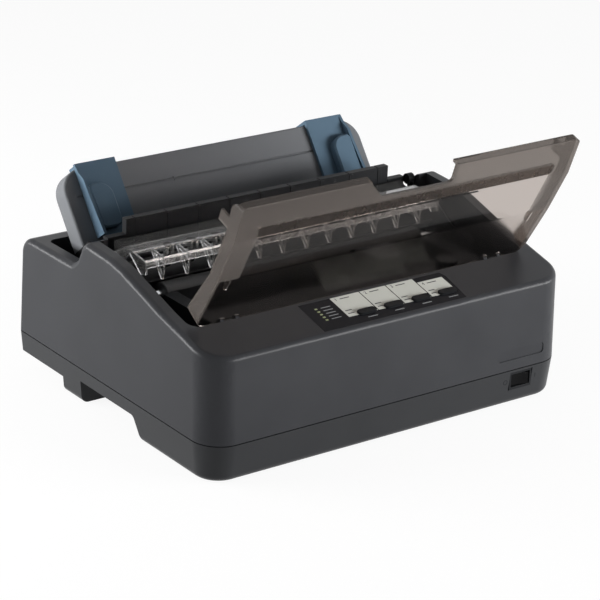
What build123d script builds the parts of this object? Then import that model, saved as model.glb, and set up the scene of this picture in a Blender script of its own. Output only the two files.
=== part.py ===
from build123d import *
import os
from math import atan2, cos, degrees, hypot, pi, radians, sin

# Narrow dot matrix printer with its cover open and its paper guide raised.
# Millimetres. While a piece is made, x = 0 is the middle of the case, y = 0 is half way
# from front to back, z = 0 is the table, and -y is the front. The export moves all of it so
# that the origin is the middle of the whole printer's box, on the table.

# ---- case ----
case_width = 348.0
case_depth = 275.0
wall = 2.6
seam_height = 32.6
seam_gap = 0.8
front_corner_radius = 24.0
edge_radius = 5.0               # along the top edges and down the rear corners
front_draft = 3.1
rear_draft = 3.8
panel_front_height = 102.4
panel_slope = 0.24
panel_depth = 44.5              # front face to the edge at the cover's hinge
hump_height = 139.6
deck_height = 115.8
side_wall_width = 12.0
rear_wall_width = 25.5
skirt = 2.2

half_width = case_width / 2
front_y = -case_depth / 2
rear_y = case_depth / 2
panel_rear_y = front_y + panel_depth
well_x = half_width - side_wall_width

# ---- base ----
foot_height = 1.5
base_taper = 3.0
base_edge_radius = 6.5
front_base_end = -42.0
lift_gap_height = 21.0
lift_gap_rear = 44.0
rear_foot_end = 71.0
rear_base_height = 15.0
rear_foot_width = 36.0
pad_radius = 7.0
pad_inset = 34.0
post_radius = 5.0
screw_radius = 1.5
head_radius = 3.0
head_height = 1.8

# ---- frame ----
frame_x = 149.0                 # inner face of each side frame
frame_plate = 1.5
pan_height = 40.0
pan_front = -84.0
pan_rear = 106.0
fit = 0.04                      # radial clearance of a running fit
clear = 0.4                     # gap between pieces that move past each other

# ---- platen and paper feed ----
platen_y = 2.0
platen_z = 100.0
platen_radius = 9.5
platen_length = 252.0
platen_shaft_radius = 4.0
knob_radius = 15.0
knob_length = 15.0
knob_gap = 0.8
gear_module = 1.0
gear_face = 4.0
gear_gap = 1.2                  # frame to gear
platen_teeth = 28
feed_idler_teeth = 36
feed_pinion_teeth = 12
eject_idler_teeth = 12
eject_teeth = 17
tractor_idler_teeth = 20
tractor_teeth = 24
feed_roller_radius = 4.0
paper_gap = 1.9                 # platen to the paper guides round it

# ---- eject unit ----
eject_y = 25.0
eject_z = 117.0
eject_roller_radius = 5.8
eject_shaft_radius = 2.5
star_radius = 4.7
star_pitch = 23.0
star_count = 10
star_first = -110.5
rib_pitch = 23.0
rib_count = 12

# ---- carriage ----
shaft_y = -42.0
shaft_z = 80.0
carriage_shaft_radius = 4.5
carriage_length = 44.0
carriage_x = 58.0               # where the head is parked
carriage_travel = 100.0         # each way from the middle
head_width = 34.0
head_nose_gap = 2.1             # nose to platen
pulley_x = 128.0
pulley_radius = 7.0
belt_height = 63.0
belt_width = 6.0
belt_thickness = 1.2

# ---- ribbon ----
cartridge_half = 133.0
cartridge_bottom = 93.0
cartridge_height = 13.0
cartridge_front = -85.0
cartridge_back = -56.0
cartridge_arm = 12.0

# ---- release lever ----
lever_grip_y = 44.5
lever_grip_z = 134.0
lever_grip_radius = 4.6

# ---- cover ----
cover_half = 160.0
cover_thickness = 2.4
cover_flange = 9.0               # side flange at the hinge end
cover_flange_flare = 1.4         # wider by this much at each fold
cover_ledge = 3.3                # rim round the notch, and its depth
cover_tab_down = 17.0            # catch behind each flange, from the top edge
cover_tab_width = 9.2
cover_tab_depth = 23.2
notch_left = -45.5
notch_right = 37.5
notch_depth = 15.5
cover_swing = 105.0
hinge_y = -90.0
hinge_z = 111.3
hinge_x = 128.0
hinge_pin_radius = 1.3
hinge_lug_radius = 2.4
hinge_lug_width = 10.0
cover_lower_length = 54.0
cover_middle_length = 41.6
cover_upper_length = 32.8
cover_lower_lean = 31.8
cover_middle_lean = 28.4
cover_upper_lean = 19.6

# ---- paper guide ----
guide_half = 148.0
guide_length = 82.0
guide_thickness = 16.0
guide_wall = 2.8
guide_lean = 37.4
guide_top_y = 120.5
guide_top_z = 168.0
guide_rod_radius = 2.0
guide_rod_rise = 9.0            # rod above the guide's lower end
guide_rod_depth = 12.0          # rod behind the guide's face
guide_slot_forward = 22.0
guide_slot_up = 17.3
edge_guide_width = 35.0
edge_guide_length = 60.0
edge_guide_height = 3.0
edge_guide_x = 113.0            # middle of each blue guide

# ---- separator ----
separator_y = 47.2
separator_half = 130.0
separator_shelf_half = 147.6
separator_top = 148.0
separator_bottom = 118.0
separator_shelf_top = 135.7
separator_depth = 6.0
separator_pitch = 30.1           # groove to groove
separator_middle = -1.8          # the middle groove
separator_grooves = 9
separator_strip = 4.6            # raised strip beside each groove

# ---- tractor ----
tractor_y = 72.0
tractor_z = 58.0
tractor_rear_y = 97.0
tractor_rear_z = 64.0
tractor_shaft_half = 3.0
tractor_rail_radius = 2.5
tractor_unit_x = 113.0
tractor_unit_width = 18.0

# ---- electrics ----
supply_z = 10.0
board_z = 27.0

# ---- panel and switch ----
panel_plate_half = 69.0
panel_plate_thickness = 0.8
button_xs = (-18.9, 7.1, 34.2, 60.5)
button_y = -119.5
button_length = 18.0
button_width = 6.5
button_travel = 0.9
rocker_x = 129.0
rocker_z = 22.4
rocker_width = 21.0
rocker_height = 13.5
rocker_swing = 9.0


def block(x0, x1, y0, y1, z0, z1):
    middle = Pos((x0 + x1) / 2, (y0 + y1) / 2, (z0 + z1) / 2)
    return middle * Box(x1 - x0, y1 - y0, z1 - z0)


def rod_x(x0, x1, y, z, r):
    return Pos((x0 + x1) / 2, y, z) * Rot(0, 90, 0) * Cylinder(r, x1 - x0)


def bar_x(x0, x1, y, z, r, sides=8):
    # a straight-sided bar along x, for what turns in nothing
    return extrude(Plane.YZ.offset(x0) * Pos(y, z) * RegularPolygon(r, sides, rotation=180 / sides), x1 - x0)


def rod_z(z0, z1, x, y, r):
    return Pos(x, y, (z0 + z1) / 2) * Cylinder(r, z1 - z0)


def bar_z(z0, z1, x, y, r, sides=6):
    return extrude(Pos(x, y, z0) * RegularPolygon(r, sides, rotation=180 / sides), z1 - z0)


def outline(points, radii=0):
    if radii == 0:
        return make_face(Polyline(*points, close=True))
    if not isinstance(radii, (int, float)):
        radii = list(radii)
    return make_face(FilletPolyline(*points, radius=radii, close=True))


def plate_x(points, x0, x1, radii=0):
    # outline in y and z, thickness along x
    return extrude(Plane.YZ.offset(x0) * outline(points, radii), x1 - x0)


def plate_z(points, z0, z1, radii=0):
    return extrude(Pos(0, 0, z0) * outline(points, radii), z1 - z0)


def both_sides(piece):
    return piece + mirror(piece, Plane.YZ)


def joined(pieces):
    whole = pieces[0]
    for piece in pieces[1:]:
        whole += piece
    return whole


def group(pieces):
    return Compound([solid for piece in pieces for solid in piece.solids()])


# ---------------------------------------------------------------- case

def case_points(inset):
    return [(-half_width + inset, front_y + inset), (half_width - inset, front_y + inset),
            (half_width - inset, rear_y - inset), (-half_width + inset, rear_y - inset)]


def case_radii(inset):
    front, rear = front_corner_radius - inset, max(edge_radius - inset, 0.8)
    return [front, front, rear, rear]


def panel_z(y):
    return panel_front_height + panel_slope * (y - front_y - front_draft)


def upper_plan(z, inset):
    # plan of the upper case at a height: its front leans back, and it runs on past the rear
    lean = front_draft * (z - seam_height) / (panel_front_height - seam_height)
    y0, y1 = front_y + inset + lean, rear_y + 20
    half, r = half_width - inset, front_corner_radius - inset
    return Pos(0, 0, z) * outline([(-half, y0), (half, y0), (half, y1), (-half, y1)], [r, r, 0, 0])


def upper_block(low, inset):
    # the upper case as a solid, drawn in by the inset
    top = [(-68.6, 118.2), (-13.2, 134.9), (3.0, hump_height - 1.9), (37.5, hump_height),
           (43.5, hump_height - 4.6), (50.0, deck_height + 6.0), (57.5, deck_height),
           (rear_y - rear_draft, deck_height - 0.8)]
    top = [(y, z - inset) for y, z in [(front_y - 10, panel_z(front_y - 10))] + top]
    top[-1] = (top[-1][0] - inset, top[-1][1])
    shape = [(front_y - 10, low)] + top + [(rear_y - inset, low)]
    solid = loft([upper_plan(low, inset), upper_plan(150, inset)])
    return solid & plate_x(shape, -half_width - 1, half_width + 1, [0, 0, 60, 60, 60, 6.5, 6, 4, 7, 14, 0])


def well_points(grow):
    # The opening in the top: cover well, hump blocks beside the separator, paper well.
    wide, narrow = well_x + grow, well_x - 8.0 + grow
    front, rear = panel_rear_y - grow, rear_y - rear_wall_width + grow
    hump_front, hump_rear = 35.6 + grow, 50.5 - grow
    right = [(wide, front), (wide, hump_front), (narrow, hump_front), (narrow, hump_rear),
             (wide, hump_rear), (wide, rear)]
    return right + [(-x, y) for x, y in reversed(right)]


def well_radii(grow):
    right = [10.0 + grow, 0, 0, 0, 0, 6.0 + grow]
    return right + right[::-1]


def upper_case():
    low = seam_height + seam_gap / 2
    outer = upper_block(low, 0)
    outer = fillet([e for e in outer.edges() if on_crest(e, low)], edge_radius)
    shell = outer - upper_block(low - 1, wall)
    skirt_low = deck_height - 24
    skirts = plate_z(well_points(skirt), skirt_low, hump_height + 10, well_radii(skirt))
    shell += outer & skirts
    shell -= plate_z(well_points(0), skirt_low - 1, hump_height + 10, well_radii(0))
    # under the humps the skirt stays clear of the gears
    shell -= both_sides(block(frame_x, well_x - 0.01, 30, 56, skirt_low - 1, deck_height - 12))
    # ears for the cover's hinge pins, and notches where the cover's lugs turn
    ear = [(panel_rear_y - 1, hinge_z - 14), (hinge_y + 1.5, hinge_z - 3.0), (hinge_y + 3.0, hinge_z - 1.0),
           (hinge_y - 2.0, hinge_z + 1.0), (panel_rear_y - 1, hinge_z - 2)]
    for x in ear_places():
        shell += plate_x(ear, x - 1.5, x + 1.5) + bar_x(x - 1.5, x + 1.5, hinge_y, hinge_z, 3.4)
        shell -= rod_x(x - 2, x + 2, hinge_y, hinge_z, hinge_pin_radius + fit)
    for side in (-1, 1):
        half_lug = hinge_lug_width / 2 + clear
        shell -= bar_x(side * hinge_x - half_lug, side * hinge_x + half_lug, hinge_y, hinge_z,
                       hinge_lug_radius + 1.0)
    # screw columns down to the base
    for x, y in case_screw_places():
        shell += bar_z(low, hump_height, x, y, 4.4) & outer
        shell -= bar_z(low - 1, 62, x, y, screw_radius)
    # platen knob's hole in the right wall, and the shaft's way through the skirt
    shell -= bar_x(well_x - 6, half_width + 1, platen_y, platen_z, 9.4, 16)
    # release lever's slot in the right hump block
    shell -= block(frame_x + frame_plate, 154.6, 26, 50, deck_height - 30, hump_height + 10)
    # panel recess, button holes and light windows
    shell -= panel_plate_solid(0.15)
    for x in button_xs:
        shell -= button_solid(x, 0.35, -6)
    for x, y in light_places():
        shell -= extrude(on_panel(x, y, -5.0) * Rectangle(2.8, 2.2), 6.0)
    shell -= badge_recess()
    for x, y0, y1, z0, z1 in rear_cutouts():
        shell -= block(x - y0, x + y0, rear_y - 12, rear_y + 1, z0, z1)
    return shell


def ear_places():
    reach = hinge_lug_width / 2 + clear + 1.5
    return [side * hinge_x + end * reach for side in (-1, 1) for end in (-1, 1)]


def on_crest(edge, low):
    # edges round the top of the upper case and down its rear corners
    box = edge.bounding_box()
    corner_y = front_y + front_corner_radius + 1
    tall = box.max.Z - box.min.Z > 50
    on_side = box.max.X - box.min.X < 0.01 and abs(abs(box.min.X) - half_width) < 0.01
    side_edge = on_side and box.max.Z > low + 1 and not (tall and box.max.Y < corner_y)
    front_edge = box.max.Y < corner_y and box.min.Z > low + 20 and not tall
    return side_edge or front_edge


def case_screw_places():
    side = half_width - 8.5
    return [(x, y) for x in (-side, side) for y in (front_y + 27.0, rear_y - 12.5)]


def badge_recess():
    y = front_y + 1.2
    shape = [(103, 41.6), (151, 41.6), (151, 50.4), (103, 50.4)]
    face = Plane.XZ.offset(-y) * outline(shape, 3.0)
    return extrude(face, 3)


def rear_cutouts():
    # x, half width, unused, low z, high z of each socket's hole in the rear face
    return [(118.0, 14.2, 0, 44.0, 64.4), (-60.0, 27.5, 0, 43.5, 60.5),
            (-116.0, 16.5, 0, 43.5, 56.5), (-8.0, 6.6, 0, 43.5, 55.0)]


def base_profile(inset):
    # side outline of the base: deep front, raised middle, raised rear
    floor, gap, back = foot_height + inset, lift_gap_height + inset, rear_base_height + inset
    step = inset
    top = seam_height - seam_gap / 2
    shape = [(front_y - 1, top), (front_y - 1, floor), (front_base_end - step, floor),
             (front_base_end + 10 - step, gap), (lift_gap_rear + 4 + step, gap),
             (lift_gap_rear + 12 + step, back), (rear_y + 1, back), (rear_y + 1, top)]
    radii = [0, 0, 5, 5, 3, 3, 0, 0]
    return shape, radii


def base_loft(inset):
    low, high = foot_height, seam_height - seam_gap / 2
    bottom = Pos(0, 0, low) * outline(case_points(inset + base_taper), case_radii(inset + base_taper))
    top = Pos(0, 0, high) * outline(case_points(inset), case_radii(inset))
    return loft([bottom, top])


def rear_foot(side, inset):
    x_in = half_width - base_taper - rear_foot_width + inset
    x_out = half_width + 5
    y0, y1 = lift_gap_rear + inset, rear_foot_end - inset
    shape = [(side * x_in, y0), (side * x_out, y0), (side * x_out, y1), (side * x_in, y1)]
    r = (y1 - y0) / 2 - 0.5
    return plate_z(shape, foot_height + inset, lift_gap_height + 8, [r, 0, 0, r])


def rear_foot_room(side):
    xs = sorted((side * (half_width - base_taper - rear_foot_width + 10), side * (half_width + 5)))
    y0, y1 = lift_gap_rear + wall, rear_foot_end - wall
    return block(xs[0], xs[1], y0, y1, foot_height + wall, lift_gap_height + 8)


def lower_case():
    body = base_loft(0)
    body = fillet([e for e in body.edges() if e.bounding_box().max.Z < foot_height + 0.01], base_edge_radius)
    profile, radii = base_profile(0)
    shell = body & plate_x(profile, -half_width - 1, half_width + 1, radii)
    for side in (-1, 1):
        shell += body & rear_foot(side, 0)
    profile, radii = base_profile(wall)[0], 0
    room = base_loft(wall)
    hollow = room & plate_x(profile, -half_width - 1, half_width + 1, radii)
    for side in (-1, 1):
        hollow += room & rear_foot_room(side)
    shell -= hollow
    top = seam_height - seam_gap / 2
    # locating lip inside the upper case
    lip = plate_z(case_points(wall + 0.2), top - 4, top + 3.5, case_radii(wall + 0.2))
    lip -= plate_z(case_points(wall + 1.6), top - 5, top + 4, case_radii(wall + 1.6))
    rear_corner = block(half_width - 14, half_width + 1, rear_y - 14, rear_y + 1, top - 5, top + 4)
    shell += lip - both_sides(rear_corner)
    for x, y in case_screw_places():
        shell -= bar_z(top, top + 10, x, y, 4.9)
        bottom = foot_height if y < 0 else rear_base_height
        shell += body & bar_z(bottom, top, x, y, post_radius)
        shell -= bar_z(bottom - 1, bottom + 4, x, y, head_radius + 0.4)
        shell -= bar_z(bottom, top + 1, x, y, screw_radius + 0.2)
    for x, y in pan_screw_places():
        post = bar_z(floor_under(y) + 0.5, pan_height, x, y, post_radius)
        shell += post - bar_z(pan_height - 9, pan_height + 1, x, y, screw_radius)
    for x, y, z in board_post_places():
        shell += bar_z(floor_under(y), z, x, y, 3.2)
    for x, y in pad_places():
        shell -= bar_z(0, foot_height + 1.0, x, y, pad_radius + 0.15, 12)
    # power switch hole
    shell -= block(rocker_x - rocker_width / 2 - 1.2, rocker_x + rocker_width / 2 + 1.2, front_y - 2,
                   front_y + 18, rocker_z - rocker_height / 2 - 1.2, rocker_z + rocker_height / 2 + 1.2)
    # cooling slots in the front floor
    for i in range(9):
        x = -64 + 16 * i
        shell -= block(x, x + 3, -100, -62, foot_height - 1, foot_height + wall + 1)
    return shell


def board_post_places():
    supply = [(x, y, supply_z) for x in (-54, 104) for y in (-118, -58)]
    return supply + [(x, y, board_z) for x in (-127, 35) for y in (66, 118)]


def floor_under(y):
    if y < front_base_end:
        return foot_height + wall / 2
    if y < lift_gap_rear + 8:
        return lift_gap_height + wall / 2
    return rear_base_height + wall / 2


def pad_places():
    front = front_y + 22.0
    rear = (lift_gap_rear + rear_foot_end) / 2
    return [(-half_width + pad_inset, front), (half_width - pad_inset, front),
            (-half_width + 19.5, rear), (half_width - 19.5, rear)]


def base_pads():
    return group([bar_z(0, foot_height + 1.0, x, y, pad_radius, 12) for x, y in pad_places()])


def pan_screw_places():
    x = frame_x - 9.0
    return [(s * x, y) for y in (pan_front + 12, 24.0, pan_rear - 8) for s in (-1, 1)]


def screws():
    pieces = []
    for x, y in case_screw_places():
        seat = (foot_height if y < 0 else rear_base_height) + 4
        pieces.append(bar_z(seat - head_height, seat, x, y, head_radius)
                      + bar_z(seat, 60, x, y, screw_radius - 0.05))
    for x, y in pan_screw_places():
        seat = pan_height + frame_plate
        pieces.append(bar_z(seat, seat + head_height, x, y, head_radius)
                      + bar_z(pan_height - 8, seat, x, y, screw_radius - 0.05))
    return group(pieces)


# ---------------------------------------------------------------- control panel

def on_panel(x, y, lift):
    # a plane lying in the sloping panel, raised by the lift
    slope = degrees(atan2(panel_slope, 1))
    return Pos(x, y, panel_z(y)) * Rot(slope, 0, 0) * Pos(0, 0, lift)


def panel_plate_solid(grow):
    front, back = 14.0 + grow, 22.0 + grow
    half = panel_plate_half + grow
    shape = [(-half - 1, -front), (half - 1, -front), (half + 1.5, back - 6), (half - 1, back), (-half - 1, back)]
    deep = -panel_plate_thickness
    plate = extrude(on_panel(3.0, -117.0, deep) * outline(shape), panel_plate_thickness + 4 * grow)
    return plate


def control_panel_plate():
    plate = panel_plate_solid(0)
    for x in button_xs:
        plate -= button_solid(x, 0.35, -6)
    return plate


def button_solid(x, grow, depth, top=1.6):
    # a bar with rounded ends, each end in six flats
    half_l, half_w = button_length / 2 + grow, button_width / 2 + grow
    shape = []
    for side in (1, -1):
        for i in range(7):
            a = radians(side * 90 - side * 30 * i) if side > 0 else radians(-90 - 30 * i)
            shape.append((side * (half_l - half_w) + half_w * cos(a), half_w * sin(a)))
    return extrude(on_panel(x, button_y, depth) * outline(shape), top - depth)


def panel_button(x):
    cap = button_solid(x, 0, -3.2, 1.0) + button_solid(x, -0.5, 1.0, 1.6)
    collar = extrude(on_panel(x, button_y, -4.0) * Rectangle(button_length + 3, button_width + 3), 1.0)
    return cap + collar + extrude(on_panel(x, button_y, -7.4) * Rectangle(4.0, 4.0), 3.8)


def button_board():
    board = extrude(on_panel(3.0, -117.0, -11.0) * Rectangle(150, 26), 1.6)
    for x in button_xs:
        board += extrude(on_panel(x, button_y, -9.4) * Rectangle(6, 6), 0.9)
    for x, y in light_places():
        board += extrude(on_panel(x, y, -9.4) * Rectangle(2.4, 1.8), 8.0)
    return board


def light_places():
    return [(-56.0, -104.0 - 3.6 * i) for i in range(5)]


# ---------------------------------------------------------------- printer cover

def cover_points():
    # outer face of the open cover, from the hinge edge up, as (y, z)
    lean = [cover_lower_lean, cover_middle_lean, cover_upper_lean]
    run = [cover_lower_length, cover_middle_length, cover_upper_length]
    y, z = hinge_y - 1.1, hinge_z - 0.6
    points = [(y, z)]
    for a, length in zip(lean, run):
        y -= length * sin(radians(a))
        z += length * cos(radians(a))
        points.append((y, z))
    return points


def behind(points, depth):
    # the same line moved back into the cover by a depth
    leans = [cover_lower_lean, cover_middle_lean, cover_upper_lean]
    moved = []
    for i, (y, z) in enumerate(points):
        a = radians(leans[min(i, 2)] if i == 0 or i == 3 else (leans[i - 1] + leans[i]) / 2)
        moved.append((y + depth * cos(a), z + depth * sin(a)))
    return moved


def cover_sheet(depth0, depth1, x0, x1, first=0, last=3):
    line = cover_points()
    front, back = behind(line, depth0), behind(line, depth1)
    shape = front[first:last + 1] + back[first:last + 1][::-1]
    return plate_x(shape, x0, x1)


def printer_cover():
    line = cover_points()
    body = cover_sheet(0, cover_thickness, -cover_half, cover_half)
    deep = [behind(line, cover_flange + cover_flange_flare * i)[i] for i in range(4)]
    rise = (line[3][1] - deep[2][1]) / (deep[3][1] - deep[2][1])
    ear_y = deep[2][0] + rise * (deep[3][0] - deep[2][0])
    rim = [line[0], line[1], line[2], line[3], (ear_y, line[3][1]), deep[2], deep[1],
           (deep[0][0] + 1.0, deep[0][1] + 10.0), (line[0][0] + 4.0, line[0][1] + 7.0)]
    tab_low, root = cover_tab_down + cover_tab_width, cover_flange
    tab = [on_cover(cover_tab_down, root), on_cover(cover_tab_down, cover_tab_depth),
           on_cover(tab_low, cover_tab_depth), on_cover(tab_low, root)]
    side = plate_x(rim, cover_half - cover_thickness, cover_half, [0, 0, 0, 0, 5, 0, 0, 0, 0])
    body += both_sides(side + plate_x(tab, cover_half - cover_thickness, cover_half))
    # top lip, stepped down in the notch where paper comes out
    top = behind(line, 7.5)[3]
    lip = [line[3], (line[3][0] + 0.7, line[3][1] - 2.2), (top[0], top[1] - 2.2), (top[0] - 0.6, top[1])]
    body += plate_x(lip, -cover_half, cover_half)
    notch = cover_notch(0)
    body -= notch
    ledge = cover_notch(cover_ledge) - notch
    ledge &= cover_sheet(0, cover_ledge, -cover_half, cover_half, 2, 3)
    body += ledge
    # round the lower corners and the upper ones as seen from the front
    body -= both_sides(corner_waste(line[0], cover_lower_lean, 12.0, 1))
    body -= both_sides(corner_waste(line[3], cover_upper_lean, 4.0, -1))
    # room for the case's ears, then the hinge lugs with their pins
    for x in ear_places():
        body -= rod_x(x - 1.5 - clear, x + 1.5 + clear, hinge_y, hinge_z, 4.6)
    for side in (-1, 1):
        x0, x1 = side * hinge_x - hinge_lug_width / 2, side * hinge_x + hinge_lug_width / 2
        body += rod_x(x0, x1, hinge_y, hinge_z, hinge_lug_radius)
        body += rod_x(x0 - clear - 2.8, x1 + clear + 2.8, hinge_y, hinge_z, hinge_pin_radius)
    # short ribs by the lower fold
    ribs = cover_sheet(cover_thickness, cover_thickness + 4, 0, 1.2)
    fold = line[1]
    near = block(-1, 2, fold[0] - 3, fold[0] + 12, fold[1] - 10, fold[1] - 1)
    for x in (-cover_half + 14, cover_half - 15):
        body += Pos(x, 0, 0) * (ribs & near)
    return body


def on_cover(down, depth):
    # measured down the upper part from its top edge, and back from its face
    y, z = cover_points()[3]
    a = radians(cover_upper_lean)
    return y + down * sin(a) + depth * cos(a), z - down * cos(a) + depth * sin(a)


def cover_notch(grow):
    # wide notch in the top edge; its left side slants
    z0 = cover_points()[3][1]
    left, right, low = notch_left - grow, notch_right + grow, z0 - notch_depth - grow
    shape = [(left, z0 + 5), (left + 1, z0 - 1.5), (left + 15, low), (right, low), (right - 0.8, z0 + 5)]
    face = Plane.XZ.offset(-hinge_y + 10) * outline(shape, [0, 2, 5, 4, 0])
    return extrude(face, 120)


def corner_waste(corner, lean, radius, up):
    # what lies outside a rounded corner of the sloping cover; up is -1 at a top corner
    waste = Pos(5 - radius / 2, 0) * Rectangle(radius + 10, 2 * radius + 20)
    keep = Pos(-5, up * (radius + 15)) * Rectangle(4 * radius + 40, 30)
    keep += Pos(-radius - 15, 0) * Rectangle(30, 4 * radius + 40)
    waste = waste - keep - Pos(-radius, up * radius) * Circle(radius)
    place = Pos(cover_half, corner[0], corner[1]) * Rot(90 + lean, 0, 0)
    return extrude(place * waste, 30, both=True)


# ---------------------------------------------------------------- side frames and pan

def frame_points():
    return [(pan_front, pan_height), (pan_front, 84), (-66, 92.6), (-46, 92.6), (-34, 106), (-16, 112),
            (8, 127), (40, 127), (46, 118), (53, 118), (58, 126), (70, 126), (95, 104), (pan_rear, 96),
            (pan_rear, pan_height)]


def guide_rod_place():
    # where the guide's rod lies when the guide is raised, as (y, z)
    along = guide_length - guide_rod_rise
    a = radians(guide_lean)
    y = guide_top_y - along * sin(a) + guide_rod_depth * cos(a)
    z = guide_top_z - along * cos(a) - guide_rod_depth * sin(a)
    return y, z


def slot_x(start, end, radius, x0, x1):
    # a straight slot with square ends
    (y0, z0), (y1, z1) = start, end
    span = hypot(y1 - y0, z1 - z0)
    dy, dz = (y1 - y0) / span * radius, (z1 - z0) / span * radius
    y0, z0, y1, z1 = y0 - dy, z0 - dz, y1 + dy, z1 + dz
    return plate_x([(y0 - dz, z0 + dy), (y1 - dz, z1 + dy), (y1 + dz, z1 - dy), (y0 + dz, z0 - dy)], x0, x1)


def side_frame(side):
    x0, x1 = sorted((side * frame_x, side * (frame_x + frame_plate)))
    plate = plate_x(frame_points(), x0, x1)
    for y, z, r in frame_holes(side):
        plate -= rod_x(x0 - 1, x1 + 1, y, z, r + fit)
    plate -= block(x0 - 1, x1 + 1, 34.2, 37.8, 119.7, 123.3)
    start = guide_rod_place()
    end = (start[0] - guide_slot_forward, start[1] + guide_slot_up)
    plate -= slot_x(start, end, guide_rod_radius + 0.15, x0 - 1, x1 + 1)
    # foot on the pan, and tabs that carry the separator and the ribbon cartridge
    tabs = [(pan_front + 4, pan_rear - 4, pan_height + frame_plate, pan_height + 2 * frame_plate, 12),
            (42, 51.5, separator_bottom - frame_plate, separator_bottom, 8),
            (-66, -56, cartridge_bottom - frame_plate, cartridge_bottom, 18)]
    for y0, y1, z0, z1, width in tabs:
        xs = sorted((side * frame_x, side * (frame_x - width)))
        plate += block(xs[0], xs[1], y0, y1, z0, z1)
    for x, y in pan_screw_places():
        plate -= bar_z(pan_height, pan_height + 6, x, y, head_radius + 0.5)
    if side < 0:
        plate += gear_axles()
    return plate


def frame_holes(side):
    shafts = [(platen_y, platen_z, platen_shaft_radius), (eject_y, eject_z, eject_shaft_radius),
              (tractor_y, tractor_z, tractor_shaft_half * 1.3), feed_roller_place() + (2.0,)]
    if side < 0:
        shafts += [feed_pinion_place() + (6.5,)]
    else:
        shafts += [lever_pivot() + (2.0,)]
    return shafts


def chassis_pan():
    pan = block(-frame_x, frame_x, pan_front, pan_rear, pan_height,
                pan_height + frame_plate)
    pan -= bar_z(pan_height - 1, pan_height + 3, -pulley_x, shaft_y, 8.0, 12)
    for x, y in pan_screw_places():
        pan -= bar_z(pan_height - 1, pan_height + 3, x, y, screw_radius + 0.2)
    # stiffening lips along the front and the rear
    lip = block(-frame_x, frame_x, pan_front, pan_front + frame_plate, pan_height, pan_height + 10)
    return pan + lip + Pos(0, pan_rear - pan_front - frame_plate, 0) * lip + idler_post()


# ---------------------------------------------------------------- gears

def meet(center_a, reach_a, center_b, reach_b, side):
    # the point at given distances from two centres, on one side of the line between them
    dy, dz = center_b[0] - center_a[0], center_b[1] - center_a[1]
    span = hypot(dy, dz)
    along = (reach_a ** 2 - reach_b ** 2 + span ** 2) / (2 * span)
    off = side * max(reach_a ** 2 - along ** 2, 0) ** 0.5
    return (center_a[0] + along * dy / span - off * dz / span,
            center_a[1] + along * dz / span + off * dy / span)


def mesh_reach(teeth_a, teeth_b):
    return gear_module * (teeth_a + teeth_b) / 2 + 0.06


platen_place = (platen_y, platen_z)
eject_place = (eject_y, eject_z)
tractor_place = (tractor_y, tractor_z)


def feed_pinion_place():
    return platen_y + 36.0, platen_z - 39.5


def feed_idler_place():
    return meet(platen_place, mesh_reach(platen_teeth, feed_idler_teeth),
                feed_pinion_place(), mesh_reach(feed_pinion_teeth, feed_idler_teeth), 1)


def eject_idler_place():
    return meet(platen_place, mesh_reach(platen_teeth, eject_idler_teeth),
                eject_place, mesh_reach(eject_teeth, eject_idler_teeth), 1)


def tractor_idler_place():
    return meet(feed_idler_place(), mesh_reach(feed_idler_teeth, tractor_idler_teeth),
                tractor_place, mesh_reach(tractor_teeth, tractor_idler_teeth), 1)


def feed_roller_place():
    reach = platen_radius + feed_roller_radius + 0.3
    return platen_y + reach * sin(radians(20)), platen_z - reach * cos(radians(20))


def gear_solid(teeth, turn, x0, x1, bore):
    # straight-sided teeth; the turn puts the first tooth at an angle in the y-z plane
    pitch_r = gear_module * teeth / 2
    step = 2 * pi / teeth
    corners = [(pitch_r - 1.15 * gear_module, -0.30), (pitch_r + 0.9 * gear_module, -0.13),
               (pitch_r + 0.9 * gear_module, 0.13), (pitch_r - 1.15 * gear_module, 0.30)]
    points = []
    for i in range(teeth):
        for r, share in corners:
            a = radians(turn) + (i + share) * step
            points.append((r * cos(a), r * sin(a)))
    wheel = plate_x(points, x0, x1)
    return wheel - rod_x(x0 - 1, x1 + 1, 0, 0, bore)


def bearing_of(center_a, center_b):
    return degrees(atan2(center_b[1] - center_a[1], center_b[0] - center_a[0]))


def meshed_turn(turn_a, teeth_a, center_a, center_b, teeth_b):
    # the turn that puts gear b's gaps on gear a's teeth
    line = bearing_of(center_a, center_b)
    phase = ((turn_a - line) * teeth_a / 360.0) % 1.0
    return line + 180.0 + (0.5 - phase) * 360.0 / teeth_b


def gear_turns():
    turns = {"platen": 0.0}
    turns["feed_idler"] = meshed_turn(0.0, platen_teeth, platen_place, feed_idler_place(), feed_idler_teeth)
    turns["pinion"] = meshed_turn(turns["feed_idler"], feed_idler_teeth, feed_idler_place(),
                                  feed_pinion_place(), feed_pinion_teeth)
    turns["eject_idler"] = meshed_turn(0.0, platen_teeth, platen_place, eject_idler_place(), eject_idler_teeth)
    turns["eject"] = meshed_turn(turns["eject_idler"], eject_idler_teeth, eject_idler_place(),
                                 eject_place, eject_teeth)
    turns["tractor_idler"] = meshed_turn(turns["feed_idler"], feed_idler_teeth, feed_idler_place(),
                                         tractor_idler_place(), tractor_idler_teeth)
    turns["tractor"] = meshed_turn(turns["tractor_idler"], tractor_idler_teeth, tractor_idler_place(),
                                   tractor_place, tractor_teeth)
    return turns


gear_x1 = -(frame_x + frame_plate + gear_gap)
gear_x0 = gear_x1 - gear_face


def gear_at(place, teeth, turn, bore):
    return Pos(0, place[0], place[1]) * gear_solid(teeth, turn, gear_x0, gear_x1, bore)


def stub(place, radius):
    # a short axle riveted in the left frame, with a flange that keeps its gear on
    x_in = -frame_x + 1.0
    axle = rod_x(gear_x0 - 0.3, x_in, place[0], place[1], radius)
    return axle + bar_x(gear_x0 - 1.5, gear_x0 - 0.3, place[0], place[1], radius + 1.7)


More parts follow.
